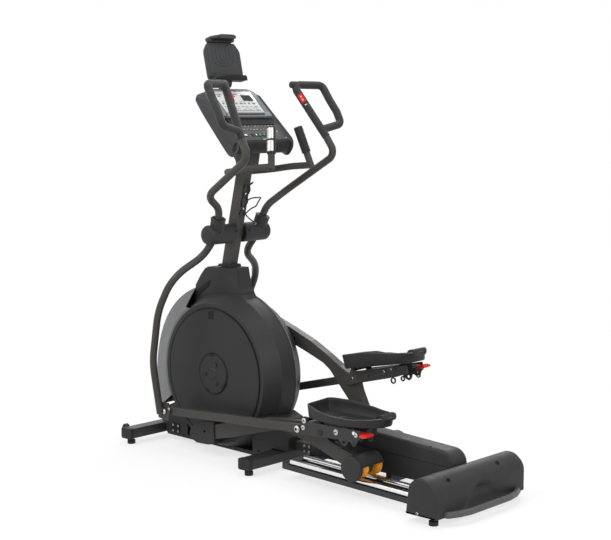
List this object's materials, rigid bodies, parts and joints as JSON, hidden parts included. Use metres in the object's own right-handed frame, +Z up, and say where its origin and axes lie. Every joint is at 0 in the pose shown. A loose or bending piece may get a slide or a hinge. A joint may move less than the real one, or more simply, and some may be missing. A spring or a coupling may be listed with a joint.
{
  "type": "elliptical trainer",
  "caption": "Front-drive elliptical trainer with a drum housing, swinging grip arms, pedal arms on rollers that run on chrome rails, a console and a tablet holder.",
  "frame": {"origin": "middle of the bounding box on the floor", "axes": "+X towards the rear, where the user steps on; +Y to the user's right; +Z up"},
  "size_m": [2.1084, 0.8224, 2.0327],
  "materials": {
    "frame_paint": "satin warm charcoal paint",
    "dark_frame": "satin black paint",
    "cover_plastic": "fine grained charcoal moulding",
    "trim_plastic": "light grey moulding",
    "band_plastic": "half gloss black moulding",
    "black_plastic": "plain black moulding",
    "grip_foam": "soft black grip",
    "collar_rubber": "black rubber",
    "foot_rubber": "black rubber",
    "roller_tyre": "orange polyurethane",
    "rail_chrome": "polished",
    "plate_chrome": "polished contact plate",
    "bright_steel": "machined",
    "pulley_alloy": "cast alloy",
    "flywheel_iron": "machined rim",
    "belt_rubber": "ribbed belt",
    "brake_magnet": "bracket with magnets",
    "lever_red": "red moulding",
    "console_dark": "dark grey moulding",
    "console_light": "mid grey moulding",
    "screen": "grey display window"
  },
  "bodies": {
    "frame": {"base_frame": "frame_paint", "front_stabilizer": "dark_frame", "mid_stabilizer": "dark_frame", "rear_stabilizer": "dark_frame", "stabilizer_caps": "black_plastic", "levelling_feet": "foot_rubber", "rail_frame": "dark_frame", "guide_rails": "rail_chrome", "centre_cover": "cover_plastic", "rear_cover": "cover_plastic", "rear_handle": "frame_paint", "mast": "frame_paint", "pivot_shaft": "bright_steel", "drum_housing": "cover_plastic", "tower_collar": "collar_rubber", "left_side_cover": "cover_plastic", "right_side_cover": "cover_plastic", "front_trim": "trim_plastic", "base_cover": "cover_plastic", "crank_bearings": "bright_steel", "drive_belt": "belt_rubber", "brake_unit": "brake_magnet", "handlebar": "frame_paint", "pulse_grips": "black_plastic", "pulse_plates": "plate_chrome", "console_back": "console_dark", "console_face": "console_light", "display": "screen", "tablet_holder": "console_dark", "bottle_cage": "dark_frame", "frame_bolts": "bright_steel"},
    "transport_wheels": {"transport_wheels": "black_plastic"},
    "crankset": {"crank_axle": "bright_steel", "drive_pulley": "pulley_alloy", "left_crank_disc": "band_plastic", "right_crank_disc": "band_plastic", "crank_caps": "black_plastic"},
    "flywheel": {"flywheel": "flywheel_iron"},
    "idler": {"idler_wheel": "pulley_alloy"},
    "tablet_clamp": {"tablet_clamp": "console_dark"},
    "left_swing_arm": {"left_arm_tubes": "frame_paint", "left_pivot_housing": "cover_plastic", "left_grip": "grip_foam"},
    "left_grip_button": {"left_grip_button": "lever_red"},
    "left_roller_arm": {"left_roller_arm": "frame_paint", "left_link_covers": "cover_plastic"},
    "left_rollers": {"left_rollers": "roller_tyre"},
    "left_pedal_arm": {"left_pedal_arm": "frame_paint"},
    "left_pedal": {"left_pedal": "cover_plastic"},
    "left_pedal_lever": {"left_pedal_lever": "lever_red"},
    "right_swing_arm": {"right_arm_tubes": "frame_paint", "right_pivot_housing": "cover_plastic", "right_grip": "grip_foam"},
    "right_grip_button": {"right_grip_button": "lever_red"},
    "right_roller_arm": {"right_roller_arm": "frame_paint", "right_link_covers": "cover_plastic"},
    "right_rollers": {"right_rollers": "roller_tyre"},
    "right_pedal_arm": {"right_pedal_arm": "frame_paint"},
    "right_pedal": {"right_pedal": "cover_plastic"},
    "right_pedal_lever": {"right_pedal_lever": "lever_red"}
  },
  "joints": [
    {"name": "crank_spin", "type": "hinge", "parent": "frame", "child": "crankset", "pos_m": [-0.52175, 0, 0.397], "axis": [0, 1, 0], "continuous": true},
    {"name": "flywheel_spin", "type": "hinge", "parent": "frame", "child": "flywheel", "pos_m": [-0.86675, 0, 0.268], "axis": [0, 1, 0], "continuous": true},
    {"name": "idler_spin", "type": "hinge", "parent": "frame", "child": "idler", "pos_m": [-0.74908, 0, 0.45974], "axis": [0, 1, 0], "continuous": true},
    {"name": "transport_wheel_spin", "type": "hinge", "parent": "frame", "child": "transport_wheels", "pos_m": [-1.03225, 0, 0.066], "axis": [0, 1, 0], "continuous": true},
    {"name": "tablet_clamp_slide", "type": "slide", "parent": "frame", "child": "tablet_clamp", "axis": [-0.225, 0, 0.9744], "range_m": [0, 0.06]},
    {"name": "left_swing", "type": "hinge", "parent": "frame", "child": "left_swing_arm", "pos_m": [-0.48775, 0, 1.079], "axis": [0, 1, 0], "range_deg": [-10, 12]},
    {"name": "left_roll", "type": "slide", "parent": "frame", "child": "left_roller_arm", "axis": [0.9998, 0, -0.0175], "range_m": [-0.181, 0.151]},
    {"name": "left_roller_spin", "type": "hinge", "parent": "left_roller_arm", "child": "left_rollers", "pos_m": [0.48207, 0, 0.13606], "axis": [0, 1, 0], "continuous": true},
    {"name": "left_pedal_arm_pivot", "type": "hinge", "parent": "left_roller_arm", "child": "left_pedal_arm", "pos_m": [0.15336, 0, 0.25691], "axis": [0, 1, 0], "range_deg": [-3.1, 3.7]},
    {"name": "left_pedal_tilt", "type": "hinge", "parent": "left_pedal_arm", "child": "left_pedal", "pos_m": [0.19642, 0, 0.30192], "axis": [0, -1, 0], "range_deg": [0, 8]},
    {"name": "left_pedal_lever_lift", "type": "hinge", "parent": "left_pedal_arm", "child": "left_pedal_lever", "pos_m": [0.50202, 0, 0.28847], "axis": [0, -1, 0], "range_deg": [0, 12]},
    {"name": "left_button_press", "type": "slide", "parent": "left_swing_arm", "child": "left_grip_button", "axis": [-0.6075, -0.7545, -0.2484], "range_m": [0, 0.0015], "stiffness_N_per_m": 400, "springref_m": -0.0005},
    {"name": "right_swing", "type": "hinge", "parent": "frame", "child": "right_swing_arm", "pos_m": [-0.48775, 0, 1.079], "axis": [0, 1, 0], "range_deg": [-12, 10]},
    {"name": "right_roll", "type": "slide", "parent": "frame", "child": "right_roller_arm", "axis": [0.9998, 0, -0.0175], "range_m": [-0.146, 0.175]},
    {"name": "right_roller_spin", "type": "hinge", "parent": "right_roller_arm", "child": "right_rollers", "pos_m": [0.33469, 0, 0.13863], "axis": [0, 1, 0], "continuous": true},
    {"name": "right_pedal_arm_pivot", "type": "hinge", "parent": "right_roller_arm", "child": "right_pedal_arm", "pos_m": [0.12824, 0, 0.42155], "axis": [0, 1, 0], "range_deg": [-3.1, 2.6]},
    {"name": "right_pedal_tilt", "type": "hinge", "parent": "right_pedal_arm", "child": "right_pedal", "pos_m": [0.16226, 0, 0.47373], "axis": [0, -1, 0], "range_deg": [0, 8]},
    {"name": "right_pedal_lever_lift", "type": "hinge", "parent": "right_pedal_arm", "child": "right_pedal_lever", "pos_m": [0.46509, 0, 0.51692], "axis": [0, -1, 0], "range_deg": [0, 12]},
    {"name": "right_button_press", "type": "slide", "parent": "right_swing_arm", "child": "right_grip_button", "axis": [-0.6071, 0.7545, -0.2495], "range_m": [0, 0.0015], "stiffness_N_per_m": 400, "springref_m": -0.0005}
  ],
  "couplings": [
    {"joint": "flywheel_spin", "follows": "crank_spin", "ratio": 7.9362},
    {"joint": "idler_spin", "follows": "crank_spin", "ratio": -9.325},
    {"joint": "left_roll", "follows": "left_swing", "m_per_rad": -0.855},
    {"joint": "left_pedal_arm_pivot", "follows": "left_swing", "ratio": 0.3},
    {"joint": "right_swing", "follows": "left_swing", "ratio": -1},
    {"joint": "right_roll", "follows": "left_swing", "m_per_rad": 0.83},
    {"joint": "right_pedal_arm_pivot", "follows": "left_swing", "ratio": -0.25}
  ]
}
